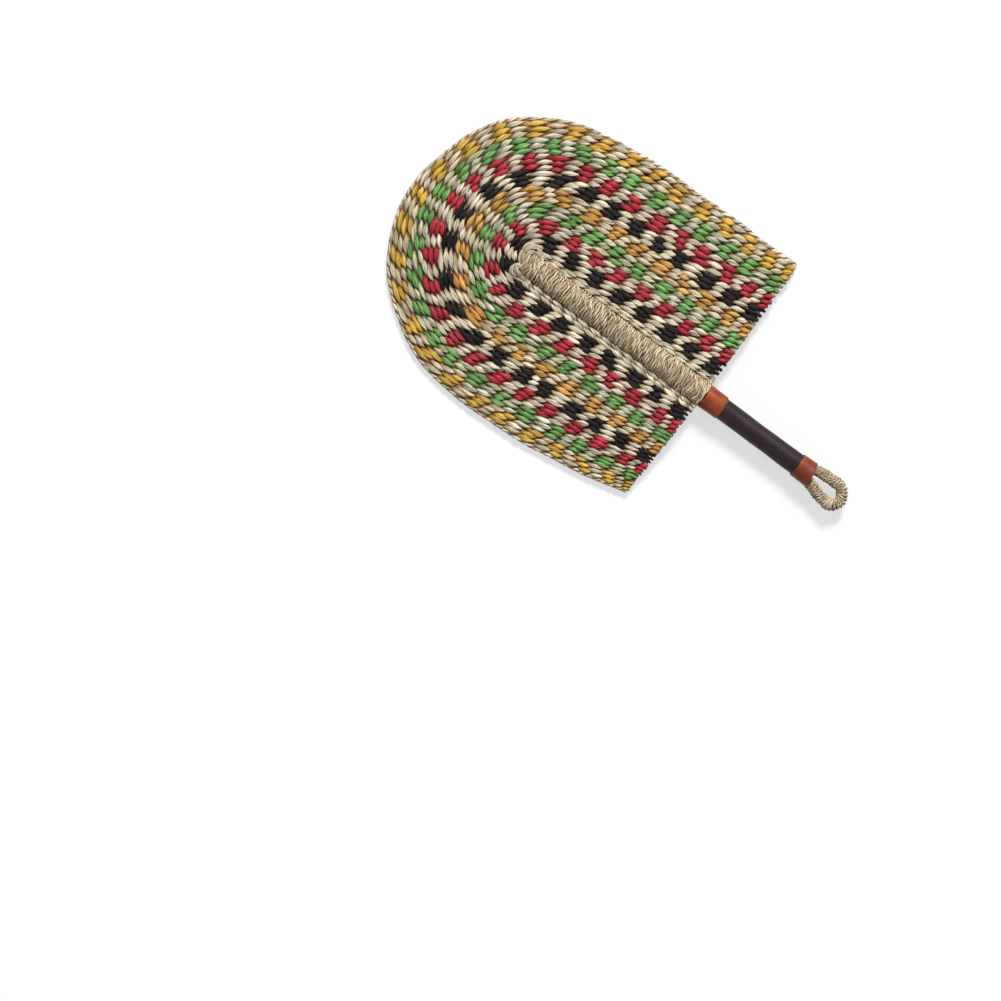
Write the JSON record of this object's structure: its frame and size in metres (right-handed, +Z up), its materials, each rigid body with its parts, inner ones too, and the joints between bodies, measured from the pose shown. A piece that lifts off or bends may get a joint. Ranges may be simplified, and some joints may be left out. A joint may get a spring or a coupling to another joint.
{
  "type": "woven seagrass fan",
  "caption": "Hand fan of checked twined straw with a wrapped spine, a leather grip and a hanging loop.",
  "frame": {"origin": "on the surface that the fan lies on, under the middle of its whole length and width", "axes": "+X to the fan's right, +Y from the loop to the crown of the blade, +Z up out of the front of the blade"},
  "size_m": [0.244, 0.421, 0.0206],
  "materials": {
    "natural_straw": "dry twined straw, undyed, slight sheen along the fibre",
    "black_straw": "dyed straw, blue black, twined with natural straw",
    "red_straw": "dyed straw, crimson, twined with natural straw",
    "green_straw": "dyed straw, leaf green, twined with natural straw",
    "ochre_straw": "dyed straw, ochre, twined with natural straw",
    "spine_straw": "fine straw wound tight, undyed",
    "loop_straw": "straw wound tight, undyed, paler",
    "stake_straw": "stiff undyed straw, not seen",
    "core_stick": "split stick, bare, not seen",
    "orange_leather": "thin smooth leather, orange tan",
    "brown_leather": "smooth leather, very dark brown, soft highlight"
  },
  "bodies": {
    "root": {"weft_black_inner": "black_straw", "weft_red_inner": "red_straw", "weft_green_inner": "green_straw", "weft_ochre_inner": "ochre_straw", "weft_black_outer": "black_straw", "weft_red_outer": "red_straw", "weft_green_outer": "green_straw", "weft_ochre_outer": "ochre_straw", "weft_natural_right": "natural_straw", "weft_natural_left": "natural_straw", "cross_stake_01": "stake_straw", "cross_stake_02": "stake_straw", "cross_stake_03": "stake_straw", "cross_stake_04": "stake_straw", "cross_stake_05": "stake_straw", "cross_stake_06": "stake_straw", "cross_stake_07": "stake_straw", "cross_stake_08": "stake_straw", "cross_stake_09": "stake_straw", "cross_stake_10": "stake_straw", "cross_stake_11": "stake_straw", "cross_stake_12": "stake_straw", "cross_stake_13": "stake_straw", "cross_stake_14": "stake_straw", "cross_stake_15": "stake_straw", "crown_stake_01": "stake_straw", "crown_stake_02": "stake_straw", "crown_stake_03": "stake_straw", "crown_stake_04": "stake_straw", "crown_stake_05": "stake_straw", "crown_stake_06": "stake_straw", "crown_stake_07": "stake_straw", "crown_stake_08": "stake_straw", "crown_stake_09": "stake_straw", "crown_stake_10": "stake_straw", "crown_stake_11": "stake_straw", "crown_stake_12": "stake_straw", "crown_stake_13": "stake_straw", "crown_stake_14": "stake_straw", "crown_stake_15": "stake_straw", "crown_stake_16": "stake_straw", "crown_stake_17": "stake_straw", "crown_stake_18": "stake_straw", "crown_stake_19": "stake_straw", "crown_stake_20": "stake_straw", "crown_stake_21": "stake_straw", "crown_stake_22": "stake_straw", "crown_stake_23": "stake_straw", "rim_cord": "natural_straw", "core_front": "core_stick", "core_back": "core_stick", "spine_wrap_lower": "spine_straw", "spine_wrap_upper": "spine_straw", "upper_band": "orange_leather", "grip_leather": "brown_leather", "lower_band": "orange_leather", "loop_core": "stake_straw", "loop_wrap": "loop_straw"}
  },
  "joints": []
}
